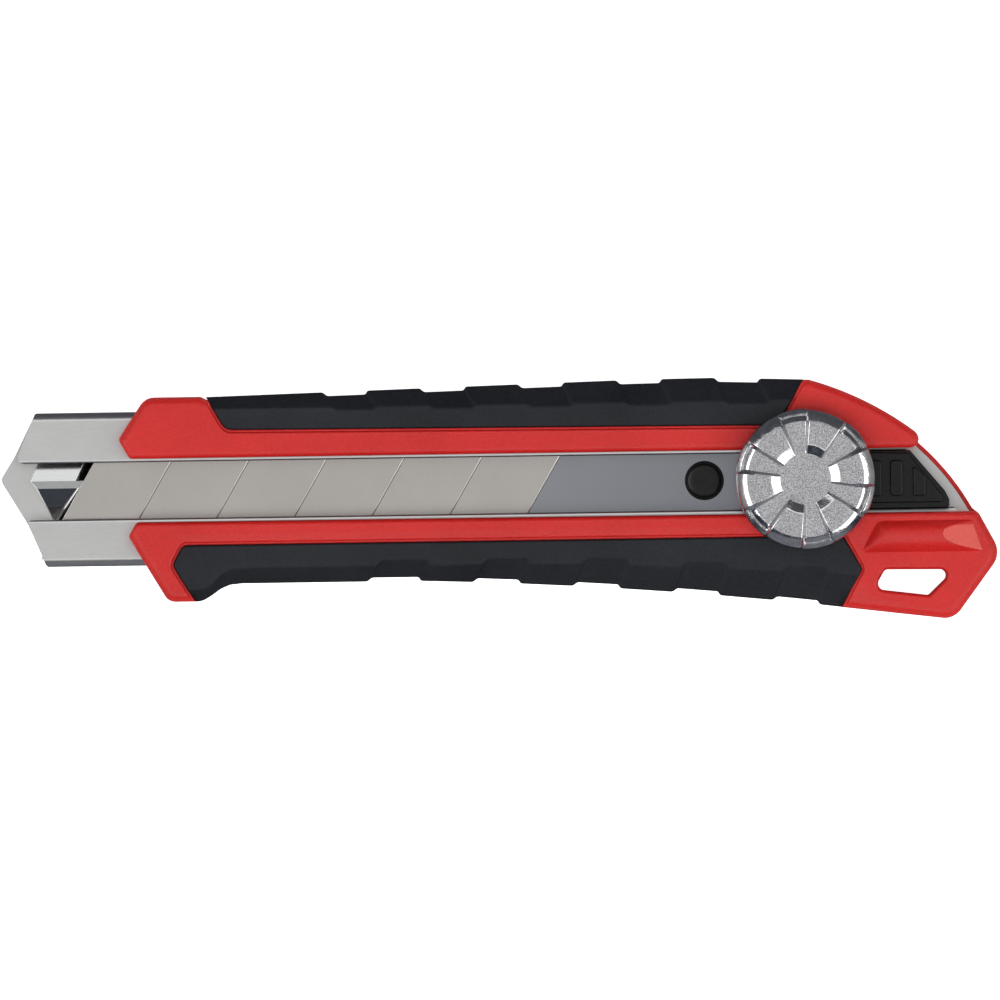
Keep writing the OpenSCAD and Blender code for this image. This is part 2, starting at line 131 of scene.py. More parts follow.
def rounded(corners, inset=0.0, steps=8):
    """Outline through corners (x, y) or (x, y, radius), moved inwards by inset."""
    sharp = [Vector(c[:2]) for c in corners]
    moved = inset_by(sharp, inset)
    outline = []
    for i, corner in enumerate(corners):
        radius = corner[2] if len(corner) > 2 else 0
        before, after = (i - 1) % len(sharp), (i + 1) % len(sharp)
        if not radius:
            outline.append(moved[i])
            continue
        hollow = (sharp[i] - sharp[before]).cross(sharp[after] - sharp[i]) < 0
        radius = max(radius + (inset if hollow else -inset), 0.05)
        outline += fillet(moved[before], moved[i], moved[after], radius, steps)
    return outline


def arc(centre, radius, start, end, steps):
    """Points on an arc, with angles in degrees."""
    angles = [math.radians(start + (end - start) * i / steps) for i in range(steps + 1)]
    return [(centre[0] + radius * math.cos(a), centre[1] + radius * math.sin(a)) for a in angles]


# ---------- meshes ----------


def new_piece(name, bm):
    """Object from a bmesh drawn in millimetres."""
    bmesh.ops.recalc_face_normals(bm, faces=bm.faces)
    bmesh.ops.scale(bm, vec=(MM, MM, MM), verts=bm.verts)
    mesh = bpy.data.meshes.new(name)
    bm.to_mesh(mesh)
    bm.free()
    piece = bpy.data.objects.new(name, mesh)
    bpy.context.scene.collection.objects.link(piece)
    return piece


def add_skin(bm, rings, capped=True, closed=True):
    """Faces through rings of equally many 3-D points."""
    rows = [[bm.verts.new(p) for p in ring] for ring in rings]
    count = len(rings[0])
    for low, high in zip(rows, rows[1:]):
        for i in range(count if closed else count - 1):
            j = (i + 1) % count
            bm.faces.new((low[i], low[j], high[j], high[i]))
    if capped:
        bm.faces.new(rows[0][::-1])
        bm.faces.new(rows[-1])
    return rows


def skin(name, rings):
    bm = bmesh.new()
    add_skin(bm, rings)
    return new_piece(name, bm)


def at_height(points, z):
    return [(p[0], p[1], z) for p in points]


def upright(corners, z0, z1, low, high, steps, inwards):
    """Outlines from z0 to z1 with quarter-round edges, drawn in where inwards is 1 or out where it is -1."""
    angles = [math.pi / 2 * k / steps for k in range(steps + 1)]
    rings = []
    for a in angles if low else [0]:
        inset = inwards * low * (1 - math.sin(a))
        rings.append(at_height(rounded(corners, inset), z0 + low * (1 - math.cos(a))))
    for a in angles if high else [0]:
        inset = inwards * high * (1 - math.cos(a))
        rings.append(at_height(rounded(corners, inset), z1 - high * (1 - math.sin(a))))
    return rings


def slab(name, corners, z0, z1, low=0.0, high=0.0, steps=6):
    """Upright slab with its bottom and top edges rounded to the radii low and high."""
    return skin(name, upright(corners, z0, z1, low, high, steps, 1))


def flared(corners, z0, z1, low=0.0, high=0.0, steps=5):
    """Cutter from z0 to z1 that opens out at these faces, so that it leaves rounded edges."""
    rings = upright(corners, z0, z1, low, high, steps, -1)
    beyond = 2
    if low:
        rings.insert(0, at_height(rounded(corners, -low), z0 - beyond))
    if high:
        rings.append(at_height(rounded(corners, -high), z1 + beyond))
    return skin("cutter", rings)


def block(low, high):
    """Box-shaped cutter."""
    x0, y0, z0 = low
    x1, y1, z1 = high
    return skin("cutter", [at_height([(x0, y0), (x1, y0), (x1, y1), (x0, y1)], z) for z in (z0, z1)])


def combine(piece, other, operation="DIFFERENCE"):
    """Boolean of two pieces; the second one is used up."""
    step = piece.modifiers.new("boolean", "BOOLEAN")
    step.operation = operation
    step.solver = "EXACT"
    step.object = other
    bake(piece)
    bpy.data.objects.remove(other)
    return piece


def bake(piece):
    """Applies the piece's modifiers to its mesh."""
    graph = bpy.context.evaluated_depsgraph_get()
    mesh = bpy.data.meshes.new_from_object(piece.evaluated_get(graph))
    piece.modifiers.clear()
    piece.data = mesh


def soften(piece, width, angle=30, segments=3):
    """Rounds the piece's sharp edges."""
    step = piece.modifiers.new("soften", "BEVEL")
    step.width = width * MM
    step.segments = segments
    step.limit_method = "ANGLE"
    step.angle_limit = math.radians(angle)
    step.miter_outer = "MITER_ARC"
    step.use_clamp_overlap = True
    bake(piece)


def dress(piece, body, material, slot, *nodes, smooth=32):
    """Shades a piece, gives it its material and ties it to the frame."""
    if not piece.data.materials:
        piece.data.materials.append(material)
    piece.data.shade_smooth()
    piece.data.set_sharp_from_angle(angle=math.radians(smooth))
    weigh = piece.modifiers.new("normals", "WEIGHTED_NORMAL")
    weigh.keep_sharp = True
    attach(piece, body)
    if nodes:
        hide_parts(*nodes)
    return piece


# ---------- materials ----------


def rgb(*levels):
    """Linear colour from red, green and blue display levels of 0 to 255."""
    shares = [level / 255 for level in levels]
    return [((v + 0.055) / 1.055) ** 2.4 if v > 0.04 else v / 12.92 for v in shares] + [1.0]


class Finish:
    """A node material that is built up step by step; places are in millimetres."""

    def __init__(self, name, colour, roughness, metallic=0.0, specular=0.5):
        self.material = bpy.data.materials.new(name)
        self.material.use_nodes = True
        self.tree = self.material.node_tree
        self.shader = self.tree.nodes["Principled BSDF"]
        self.shader.inputs["Base Color"].default_value = colour
        self.shader.inputs["Roughness"].default_value = roughness
        self.shader.inputs["Metallic"].default_value = metallic
        self.shader.inputs["Specular IOR Level"].default_value = specular
        self.place = self.add("ShaderNodeTexCoord").outputs["Object"]

    def add(self, kind, values=None, **settings):
        node = self.tree.nodes.new(kind)
        for key, value in settings.items():
            setattr(node, key, value)
        for key, value in (values or {}).items():
            if isinstance(value, bpy.types.NodeSocket):
                self.tree.links.new(value, node.inputs[key])
            else:
                node.inputs[key].default_value = value
        return node

    def noise(self, size, detail=2.0, stretch=(1, 1, 1)):
        """Noise with lumps about size millimetres across, longer along an axis where stretch is above 1."""
        scale = [1 / (size * MM * s) for s in stretch]
        spread = self.add("ShaderNodeMapping", {"Vector": self.place, "Scale": scale})
        keys = {"Vector": spread.outputs[0], "Scale": 1.0, "Detail": detail}
        return self.add("ShaderNodeTexNoise", keys).outputs[0]

    def span(self, value, low, high, to_low=0.0, to_high=1.0):
        keys = {"Value": value, "From Min": low, "From Max": high, "To Min": to_low, "To Max": to_high}
        return self.add("ShaderNodeMapRange", keys).outputs[0]

    def vary(self, noise, to_low=0.0, to_high=1.0):
        """Noise spread from to_low to to_high; as it comes, it keeps to about 0.3 to 0.7."""
        return self.span(noise, 0.3, 0.7, to_low, to_high)

    def math(self, operation, a, b):
        return self.add("ShaderNodeMath", {0: a, 1: b}, operation=operation).outputs[0]

    def blend(self, factor, first, second):
        """Colour between two; the node's colours are its sockets 6 and 7, and the result is output 2."""
        return self.add("ShaderNodeMix", {0: factor, 6: first, 7: second}, data_type="RGBA").outputs[2]

    def drive(self, socket, value):
        self.tree.links.new(value, self.shader.inputs[socket])

    def bump(self, *layers):
        """Bumps the surface by (height, depth in millimetres) layers."""
        normal = None
        for height, depth in layers:
            keys = {"Height": height, "Distance": depth * MM, "Strength": 1.0}
            if normal:
                keys["Normal"] = normal
            normal = self.add("ShaderNodeBump", keys).outputs[0]
        self.drive("Normal", normal)


def moulded(name, dark, light, grain, depth, rough, specular):
    """Moulded plastic or rubber: fine grain, slow colour change and faint scuffs."""
    finish = Finish(name, light, rough, specular=specular)
    grains = finish.noise(grain, detail=3)
    cloud = finish.noise(17, detail=2)
    scuffs = finish.noise(0.9, detail=4, stretch=(7, 1, 1))
    tone = finish.math("ADD", finish.vary(grains, 0, 0.6), finish.vary(cloud, 0, 0.4))
    finish.drive("Base Color", finish.blend(tone, dark, light))
    uneven = finish.vary(grains, rough - 0.06, rough + 0.06)
    polished = finish.span(scuffs, 0.62, 0.75, 0, -0.1)
    finish.drive("Roughness", finish.math("ADD", uneven, polished))
    finish.bump((cloud, 0.02), (grains, depth))
    return finish.material


def steel(name, dark, light, rough, stretch, depth=0.004):
    """Rolled or ground steel with fine lines drawn out along the axes of stretch."""
    finish = Finish(name, light, rough, metallic=1.0)
    lines = finish.noise(0.3, detail=1, stretch=stretch)
    patches = finish.noise(9, detail=3)
    tone = finish.math("ADD", finish.vary(lines, 0, 0.5), finish.vary(patches, 0, 0.5))
    finish.drive("Base Color", finish.blend(tone, dark, light))
    smear = finish.vary(patches, -0.008, 0.008)
    uneven = finish.vary(lines, rough - 0.004, rough + 0.004)
    finish.drive("Roughness", finish.math("ADD", uneven, smear))
    finish.bump((lines, depth))
    return finish


def blade_steel():
    """Ground steel whose last segment, over the peg, keeps a cooler tone."""
    finish = steel("blade_steel", rgb(201, 197, 192), rgb(204, 200, 195), 0.26, stretch=(1, 9, 1), depth=0)
    base = finish.shader.inputs["Base Color"].links[0].from_socket
    axes = finish.add("ShaderNodeSeparateXYZ", {0: finish.place})
    slant = finish.math("MULTIPLY", axes.outputs[1], -1 / math.tan(SNAP))
    along = finish.math("ADD", axes.outputs[0], slant)
    cool = finish.span(along, LAST_SCORE_X * MM, (LAST_SCORE_X + 0.2) * MM)
    fade = finish.span(along, LAST_SCORE_X * MM, BLADE_END * MM)
    tone = finish.blend(fade, rgb(161, 164, 170), rgb(146, 149, 155))
    finish.drive("Base Color", finish.blend(cool, base, tone))
    return finish.material


def grained_plate():
    """Plated metal with the sand-cast grain of the wheel's faces."""
    finish = Finish("plated_grain", rgb(205, 205, 207), 0.38, metallic=1.0)
    grains = finish.noise(0.2, detail=2)
    pits = finish.noise(0.4, detail=3)
    tone = finish.span(grains, 0.35, 0.65)
    finish.drive("Base Color", finish.blend(tone, rgb(124, 124, 127), rgb(192, 192, 194)))
    finish.drive("Roughness", finish.vary(pits, 0.3, 0.46))
    finish.bump((pits, 0.05), (grains, 0.07))
    return finish.material


def bright_plate():
    """Plated metal that is left bright on the wheel's edges."""
    finish = Finish("plated_bright", rgb(232, 232, 234), 0.12, metallic=1.0)
    haze = finish.noise(1.6, detail=4)
    grains = finish.noise(0.3, detail=2)
    tone = finish.span(haze, 0.35, 0.65)
    finish.drive("Base Color", finish.blend(tone, rgb(204, 204, 207), rgb(232, 232, 233)))
    finish.drive("Roughness", finish.vary(haze, 0.08, 0.2))
    finish.bump((haze, 0.03), (grains, 0.02))
    return finish.material


RED = moulded("red_plastic", rgb(178, 22, 20), rgb(208, 36, 32),
              grain=0.24, depth=0.08, rough=0.41, specular=0.33)
# Lighter, pinker red for the ridge's tilted facet at the rear: a painted sheen.
SHEEN_RED = moulded("red_plastic_painted_sheen", rgb(201, 70, 61), rgb(222, 91, 81),
                   grain=0.24, depth=0.05, rough=0.4, specular=0.35)
RUBBER = moulded("black_rubber", rgb(10, 12, 16), rgb(31, 33, 38),
                 grain=0.3, depth=0.07, rough=0.55, specular=0.26)
BLACK = moulded("black_plastic", rgb(10, 10, 11), rgb(18, 18, 19),
                grain=0.35, depth=0.01, rough=0.32, specular=0.26)
CHANNEL_STEEL = steel("channel_steel", rgb(210, 210, 209), rgb(218, 218, 217), 0.3, (6, 1, 1), 0.001).material
# Cut ends and slot edges of the channel: a rougher steel, darkened as painted shade to give them thin dark
# outlines.
SHADED_EDGE_STEEL = steel("sheared_steel_painted_shade", rgb(84, 84, 87), rgb(120, 120, 123), 0.4, (1, 1, 4)).material
RAMP_STEEL = steel("ramp_steel", rgb(206, 207, 208), rgb(216, 217, 217), 0.16, (3, 1, 1), 0.001).material
PLATED_STEEL = steel("plated_steel", rgb(150, 150, 152), rgb(182, 182, 182), 0.32, (1, 1, 1)).material
BLADE_STEEL = blade_steel()
WHEEL_GRAIN = grained_plate()
WHEEL_BRIGHT = bright_plate()

# ---------- handle ----------

# Corners that the handle's outline shares with the window between the rails
UPPER_NOSE_TOP, UPPER_NOSE = (-63.4, 16.4), (-68.4, 8.9)
LOWER_NOSE, LOWER_NOSE_FOOT = (-66.8, -8.6), (-59.7, -20.45)
BUTT_END, RAIL_END = (90.2, -13.9), (75.55, 7.9)

# The two long curves of the upper silhouette, which the channel's web follows further in
REAR_CENTRE, REAR_RADIUS = (39.8, -37.8), 58
BUTT_CENTRE, BUTT_RADIUS = (45.8, -27.4), 45

LOWER_GRIP_END = (61.4, -23.15)
LOWER_FRONT = [(*LOWER_NOSE, 1), (*LOWER_NOSE_FOOT, 2.2), (-54, -20.45)]
LOWER_REAR = [LOWER_GRIP_END, (81.5, -25.6, 3.5), (*BUTT_END, 4)]
BUTT = [(86.2, -6.4, 1.2)] + arc(BUTT_CENTRE, BUTT_RADIUS, 29, 48.4, 14)
UPPER_REAR = [(*RAIL_END, 2)] + arc(REAR_CENTRE, REAR_RADIUS, 53.5, 73.8, 16)
UPPER_FRONT = [(-52.4, 15.85), (-53.5, 16.4, 0.5), (*UPPER_NOSE_TOP, 3), (*UPPER_NOSE, 1)]
BODY = LOWER_FRONT + LOWER_REAR + BUTT + UPPER_REAR + UPPER_FRONT

# Seams of the two grips, and the zones that the rubber fills, which run out past the silhouette
UPPER_SEAM = [(-52.6, 16.5), (-49.1, 10.35, 2.2), (50.3, 9.8), (55, 17.95)]
LOWER_SEAM = [LOWER_GRIP_END, (65.1, -16.3, 0.9), (61.8, -10.3)]
LOWER_SEAM += [(-57, -10.3, 1.4), (-58.9, -13.9, 1.6), (-54.9, -20.5)]
UPPER_ZONE = [(-57, 24)] + UPPER_SEAM + [(58.5, 24)]
LOWER_ZONE = [(66, -32)] + LOWER_SEAM + [(-48, -32)]
LANYARD = [(69.2, -16.45, 1), (67.2, -19.95, 1.2), (77.1, -21.2, 0.6), (81.9, -16.6, 1.1)]
SCREW_XS = (-52, 66)


def window_outline():
    """Gap between the rails, running out past the noses at the front and the butt at the rear."""
    def corner(*points, radius):
        return fillet(*(Vector(p) for p in points), radius, 6)
    upper_start, upper_middle, upper_end = (-66.4, WIN_HI), (40, WIN_HI), (75.4, WIN_HI)
    lower_start, lower_middle, lower_end = (-65.3, WIN_LO), (60, WIN_LO), (86.1, WIN_LO - 0.2)
    upper_nose = corner(UPPER_NOSE_TOP, UPPER_NOSE, upper_start, radius=1)
    upper_front = corner(UPPER_NOSE, upper_start, upper_middle, radius=1)
    upper_rear = corner(upper_middle, upper_end, RAIL_END, radius=1.4)
    lower_rear = corner(BUTT_END, lower_end, lower_middle, radius=1.2)
    lower_front = corner(lower_middle, lower_start, LOWER_NOSE, radius=1)
    lower_nose = corner(lower_start, LOWER_NOSE, LOWER_NOSE_FOOT, radius=1)
    ahead, behind = -80, 100
    upper = [(ahead, upper_nose[0].y), *upper_nose, *upper_front, *upper_rear, (behind, upper_rear[-1].y)]
    lower = [(behind, lower_rear[0].y), *lower_rear, *lower_front, *lower_nose, (ahead, lower_nose[-1].y)]
    return (upper + lower)[::-1]


def least(values, blend=0.12):
    """Smallest of the values, with the change from one to the next blended."""
    low = values[0]
    for value in values[1:]:
        h = max(blend - abs(low - value), 0) / blend
        low = min(low, value) - h * h * blend / 4
    return low


def sheen_facet(x, y):
    """Share of the ridge's height in the tilted facet, which falls from its start to the rear; its faces are
    painted a lighter red as a painted sheen.
    """
    start_x, start_y = 79.1, -8.8
    fall, skew = 0.15, 0.33
    return 1 - fall * (x - start_x + skew * (y - start_y))


def ridge_height(x, y):
    """Share of the ridge's height at a place on the butt: the least of the slopes that bound it."""
    upper_y, middle_y, lower_y = -7.7, -10.4, -13.5
    front_run, upper_run, lower_run, rear_run = 1.8, 1.1, 1.3, 0.8
    front = (x - 67.6 - 0.55 * (y + 8.5)) / front_run
    above = (upper_y - y) / upper_run
    below = (y - lower_y) / lower_run
    crown = 1 - 0.09 * (y - middle_y) ** 2
    rear = (86.9 - x - 0.3 * (y + 12.7)) / rear_run
    sunk = -0.04
    return max(least([least([crown, front, above, below], blend=0.6), sheen_facet(x, y), rear]), sunk)


def ridge():
    """Raised rib that crosses the butt beside the carrier's tail, drawn on a grid of heights."""
    step, height, root = 0.2, 1.4, 0.8
    xs = [62.5 + step * i for i in range(int(26 / step) + 1)]
    ys = [-14 + step * i for i in range(int(7.5 / step) + 1)]
    bm = bmesh.new()
    rows = [[bm.verts.new((x, y, Z_RAIL + height * ridge_height(x, y))) for x in xs] for y in ys]
    for low, high in zip(rows, rows[1:]):
        for i in range(len(xs) - 1):
            bm.faces.new((low[i], low[i + 1], high[i + 1], high[i]))
    border = rows[0] + [row[-1] for row in rows[1:]] + rows[-1][-2::-1] + [row[0] for row in rows[-2:0:-1]]
    foot = [bm.verts.new((v.co.x, v.co.y, Z_RAIL - root)) for v in border]
    for i, corner in enumerate(border):
        j = (i + 1) % len(border)
        bm.faces.new((foot[i], foot[j], border[j], corner))
    bm.faces.new(foot[::-1])
    trim = skin("trim", [at_height(rounded(BODY, 1.5), z) for z in (0, Z_RAIL + 3)])
    return combine(new_piece("ridge", bm), trim, "INTERSECT")


def channel_room():
    """The straight passage that the channel and the carrier lie in."""
    half, past = HALF_CHANNEL + 0.1, 100
    return block((-past, -half, Z_WEB), (past, half, Z_LIP_TOP + 0.1))


# Faces of the ridge's tilted facet, which get the lighter red of the painted sheen.
def on_sheen_facet(place):
    x, y, z = place
    in_sheen_facet = abs(ridge_height(x, y) - sheen_facet(x, y)) < 0.02
    return z > Z_RAIL + 0.1 and x > 78 and y < -8.6 and in_sheen_facet


def handle():
    """Red moulding, with the rails, the pockets for the rubber, the lanyard hole and the screw holes."""
    shell = slab("handle", BODY, 0, Z_RAIL, low=1.0, high=1.5)
    combine(shell, flared(window_outline(), Z_WEB, Z_RAIL, high=0.9))
    combine(shell, channel_room())
    combine(shell, ridge(), "UNION")
    seam, ledge = 0.4, Z_RAIL - 0.45
    for zone in (UPPER_ZONE, LOWER_ZONE):
        combine(shell, flared(rounded(zone, -seam), ledge, Z_RAIL, high=seam))
        combine(shell, flared(zone, 0, ledge, low=0.25, high=0.2))
    combine(shell, flared(LANYARD, 0, Z_RAIL, low=0.7, high=0.7))
    for x in SCREW_XS:
        combine(shell, flared(arc((x, 0), 3, 0, 345, 23), 0, 2.8, low=0.4))
    panel = [(6, -6.5, 2), (42, -6.5, 2), (42, 6.5, 2), (6, 6.5, 2)]
    combine(shell, flared(panel, 0, 0.4, low=0.3))
    shell.data.materials.clear()
    for material in (RED, SHEEN_RED):
        shell.data.materials.append(material)
    # Faces on the tilted facet take the lighter red of the painted sheen; the rest keep the plain red.
    for face in shell.data.polygons:
        face.material_index = 1 if on_sheen_facet(face.center / MM) else 0
    return dress(shell, "handle", RED, "red_plastic", "handle_body")


# ---------- rubber grips ----------

BEVEL = 2.6
TREAD_STEP = 0.7
PAD_LENGTH = 9.4
PADS = 5
# Finger stop at the front of the lower grip, as places on its silhouette
STOP = [(-62, -20.45), (-54.2, -20.45), (-53.3, -20.2), (-52, -19.4), (-50.4, -18.25), (-48.6, -17.5)]


def treads(start, first_end, first_pad, pitch, end):
    """Stations along a grip as (x, 0 on a raised pad or 1 in a valley)."""
    ramp = 0.8
    stations = [(start, 0)]
    previous = first_end
    for i in range(PADS):
        pad = first_pad + i * pitch
        stations += [(previous, 0), (previous + ramp, 1), (pad - ramp / 2, 1), (pad, 0)]
        previous = pad + PAD_LENGTH
    return stations + [(end, 0)]


def upper_pad_y(x):
    """Silhouette over the upper grip's pads: a slow rise, a flatter stretch and a fall."""
    if x < 21:
        return 16.35 + (x + 52) * 0.026
    return 18.25 + (x - 21) * 0.015 if x < 38 else 18.5 - (x - 38) * 0.032


def lower_pad_y(x):
    """Silhouette over the lower grip's pads: straight at first, then curving down to the butt."""
    t = max(x + 15, 0)
    return -17.3 - 0.03 * t - 0.0006 * t * t


def lower_line(x):
    """Where the lower grip's flat face ends and its bevel starts."""
    return -14.5 - max(x - 15, 0) * 0.055


def lean(x):
    """Shift along the grip from the foot of a tread's ramp to its top."""
    return 1.8 if abs(x) < 60 else 0


def upper_edges():
    """Silhouette of the upper grip, and where its bevel meets the flat face."""
    stations = treads(-60, -31.5, -23.4, 17.65, 60)
    outer = [(x, upper_pad_y(x) - TREAD_STEP * valley) for x, valley in stations]
    face = [(x + lean(x), 14.2 - 0.5 * valley) for x, valley in stations]
    return outer, face


def lower_edges():
    """The same two lines for the lower grip, which starts with the finger stop."""
    stations = treads(-46.5, -23.9, -14.3, 17.95, 70)
    outer = STOP + [(x, lower_pad_y(x) + TREAD_STEP * valley) for x, valley in stations]
    face = [(x + lean(x) / 6, y + (2.8 if x > -51 else 2.1)) for x, y in STOP]
    face += [(x + lean(x), lower_line(x) + 1.1 * valley) for x, valley in stations]
    return outer, face


def grip(side, edges, inner_y, zone):
    """Bevelled rubber, its treads rounded, trimmed to the zone that it fills in the handle."""
    rings = []
    for outer, face in zip(*edges):
        inner = (face[0], inner_y)
        rings.append([(*inner, 0), (*face, 0), (*outer, BEVEL),
                      (*outer, Z_GRIP - BEVEL), (*face, Z_GRIP), (*inner, Z_GRIP)])
    rubber = skin(side + "_rubber", rings)
    soften(rubber, 0.45, angle=10, segments=4)
    combine(rubber, slab("zone", zone, 0, Z_GRIP, low=0.3, high=0.45), "INTERSECT")
    combine(rubber, channel_room())
    return dress(rubber, "handle", RUBBER, "grip_rubber", side + "_grip", smooth=50)


# ---------- channel ----------


CHANNEL_EDGE = HALF_CHANNEL + 0.01
CHANNEL_NOSE_TOP, CHANNEL_NOSE_FOOT = (-83.3, CHANNEL_EDGE, 0.5), (-81.6, -CHANNEL_EDGE, 0.8)
CHANNEL_REAR_TOP = (61.5, CHANNEL_EDGE)


def channel_section():
    """The folded sheet seen from its end, as (y, z) points, open between the lips."""
    fold, inner, sharp = 1.6, 0.6, 0.1
    burr, worn, drop = 0.5, 0.35, 0.06
    high, low = HALF_CHANNEL, -HALF_CHANNEL
    inside_high, inside_low, floor = high - SHEET, low + SHEET, Z_WEB + SHEET
    corners = [(low, Z_WEB, fold), (high, Z_WEB, fold), (high, Z_LIP_TOP, fold)]
    corners += [(SLOT_HI + burr, Z_LIP_TOP, sharp), (SLOT_HI, Z_LIP_TOP - drop, worn), (SLOT_HI, Z_LIP)]
    corners += [(inside_high, Z_LIP, inner), (inside_high, floor, inner)]
    corners += [(inside_low, floor, inner), (inside_low, Z_LIP, inner)]
    corners += [(SLOT_LO, Z_LIP), (SLOT_LO, Z_LIP_TOP - drop, worn), (SLOT_LO - burr, Z_LIP_TOP, sharp)]
    return rounded(corners + [(low, Z_LIP_TOP, fold)], steps=7)


def channel_web():
    """Outline of the channel's back, with its pointed nose."""
    front = [CHANNEL_NOSE_TOP, (-87.2, 6), (-89.8, 1.9, 1.5), (-84.9, -6.2), CHANNEL_NOSE_FOOT]
    rear = [(87.6, -CHANNEL_EDGE), (84.8, -6.4)]
    rear += arc(BUTT_CENTRE, BUTT_RADIUS - 0.8, 29.5, 47.5, 14)
    rear += arc(REAR_CENTRE, REAR_RADIUS - 1.8, 51.5, 66.8, 10)
    return front + rear + [CHANNEL_REAR_TOP]


def channel_lips():
    """Outline of the two lips, joined where the nose and the slot lie open."""
    upper = [CHANNEL_NOSE_TOP, (-87.2, SLOT_HI, 1.2), (-70, SLOT_HI)]
    lower = [(-70, SLOT_LO), (-85.1, SLOT_LO, 0.6), CHANNEL_NOSE_FOOT]
    rear = [(84.8, -CHANNEL_EDGE), (84.8, -9), (81.8, SLOT_LO), (73.6, SLOT_HI), (66.8, CHANNEL_EDGE - 2)]
    return upper + lower + rear + [CHANNEL_REAR_TOP]


def is_shaded_cut_edge(face):
    """Whether a face of the channel is on its cut ends or along the edges of its slot; these faces get a
    darker steel as painted shade.
    """
    across_end = abs(face.normal.x) > 0.3
    along_slot = face.center.z > Z_LIP * MM and abs(face.center.y) < 6 * MM and face.normal.z < 0.8
    return across_end or along_slot


def channel():
    """Folded stainless sheet, its web and its lips cut to their own outlines."""
    section = channel_section()
    sheet = skin("channel", [[(x, p.x, p.y) for p in section] for x in (-95, 95)])
    split = Z_WEB + SHEET + 0.4
    trim = slab("trim", channel_web(), Z_WEB - 1, split)
    combine(trim, slab("lips", channel_lips(), split - 0.02, Z_LIP_TOP + 1), "UNION")
    combine(sheet, trim, "INTERSECT")
    soften(sheet, 0.14, angle=50)
    for material in (CHANNEL_STEEL, SHADED_EDGE_STEEL):
        sheet.data.materials.append(material)
    # The cut ends and slot edges take the darker steel: painted shade along these edges.
    for face in sheet.data.polygons:
        face.material_index = 1 if is_shaded_cut_edge(face) else 0
    return dress(sheet, "handle", CHANNEL_STEEL, "channel_steel", "blade_channel")


def nose_ramp():
    """Pressed ramp in the channel's web: a crest along the blade, one face on each side of it."""
    floor = Z_WEB + SHEET
    crest, far_edge, root = floor + 2, floor + 0.8, floor - 0.3
    foot = [(-84.5, 1.5), (-83.3, 0.1), (-80.3, -5.6), (-79, -5.8), (-74.6, 0.2), (-73.9, 1.2)]
    foot += [(-73.5, 1.9), (-71.2, 7.6), (-82.1, 7.6)]
    top = at_height([(-84.3, 1.6), (-83.1, 0.3)], crest)
    top += at_height([(-80.2, -5.4), (-79.2, -5.4)], floor + 0.05)
    top += at_height([(-75.1, 0.3), (-74.4, 1.6), (-76.3, 1.6)], crest)
    top += at_height([(-73.5, 7.6), (-81.8, 7.6)], far_edge)
    bm = bmesh.new()
    rows = add_skin(bm, [at_height(foot, root), at_height(foot, floor), top], capped=False)
    bm.faces.new(rows[0][::-1])
    near_face, crest_face, far_face = (1, 2, 3, 4), (0, 1, 4, 5, 6), (0, 6, 7, 8)
    for corners in (near_face, crest_face, far_face):
        bm.faces.new([rows[2][i] for i in corners])
    ramp = new_piece("nose_ramp", bm)
    soften(ramp, 0.05, angle=8, segments=2)
    return dress(ramp, "handle", RAMP_STEEL, "channel_steel")


# ---------- blade ----------


def score_cutter(x, z):
    """Cutter for the score line that crosses the blade's middle at x, in its face at height z."""
    along = Vector((math.cos(SNAP), math.sin(SNAP)))
    across = Vector((math.sin(SNAP), -math.cos(SNAP)))
    section = [(-0.62, 0.25), (-0.13, 0), (0, -0.05), (0.06, -0.25), (0.13, 0), (0.2, 0.25)]
    rings = []
    for end in (-20, 20):
        start = Vector((x, 0)) + along * end
        rings.append([(*(start + across * offset), z + depth) for offset, depth in section])
    return skin("score", rings)


def blade():
    """Snap-off blade with its score lines, ground edge and the hole for the peg."""
    half, z0, z1 = BLADE_HI.y, BLADE_LO.z, BLADE_HI.z
    chamfer = 1
    corners = [(TIP_X + 0.3, -half), (BLADE_END - chamfer, -half), (BLADE_END, chamfer - half)]
    corners += [(BLADE_END, half - chamfer), (BLADE_END - chamfer, half)]
    corners.append((TIP_X + 2 * half / math.tan(SNAP), half))
    strip = slab("blade", corners, z0, z1)
    soften(strip, 0.05, segments=2)
    hole, worn = PEG_R + 0.15, PEG_R + 0.35
    rings = [(hole, z0 - 1), (hole, z1 - 0.12), (worn, z1), (worn + 1, z1 + 0.4)]
    combine(strip, skin("hole", [at_height(arc((PEG_X, 0), r, 0, 354, 59), z) for r, z in rings]))
    for i in range(SCORES):
        combine(strip, score_cutter(FIRST_SCORE_X + i * PITCH, z1))
    grind, land = 2.2, 0.03
    middle, reach = (z0 + z1) / 2, (z1 - z0) / 2
    section = [(-half - 1, land), (-half, land), (-half + grind, reach), (-half + grind, 1), (-half - 1, 1)]
    for side in (-1, 1):
        rings = [[(x, y, middle + side * z) for y, z in section] for x in (-100, 60)]
        combine(strip, skin("grind", rings))
    return dress(strip, "carriage", BLADE_STEEL, "blade_steel", "snap_blade", smooth=20)


# ---------- carriage ----------


def turned(name, centre, profile, steps=64):
    """Solid of revolution about a vertical axis, from (radius, z) points."""
    rings = []
    for i in range(steps):
        a = 2 * math.pi * i / steps
        rings.append([(centre[0] + r * math.cos(a), centre[1] + r * math.sin(a), z) for r, z in profile])
    bm = bmesh.new()
    rows = add_skin(bm, rings, capped=False, closed=False)
    for i in range(len(profile) - 1):
        bm.faces.new((rows[-1][i], rows[0][i], rows[0][i + 1], rows[-1][i + 1]))
    bm.faces.new([row[0] for row in rows][::-1])
    bm.faces.new([row[-1] for row in rows])
    return new_piece(name, bm)


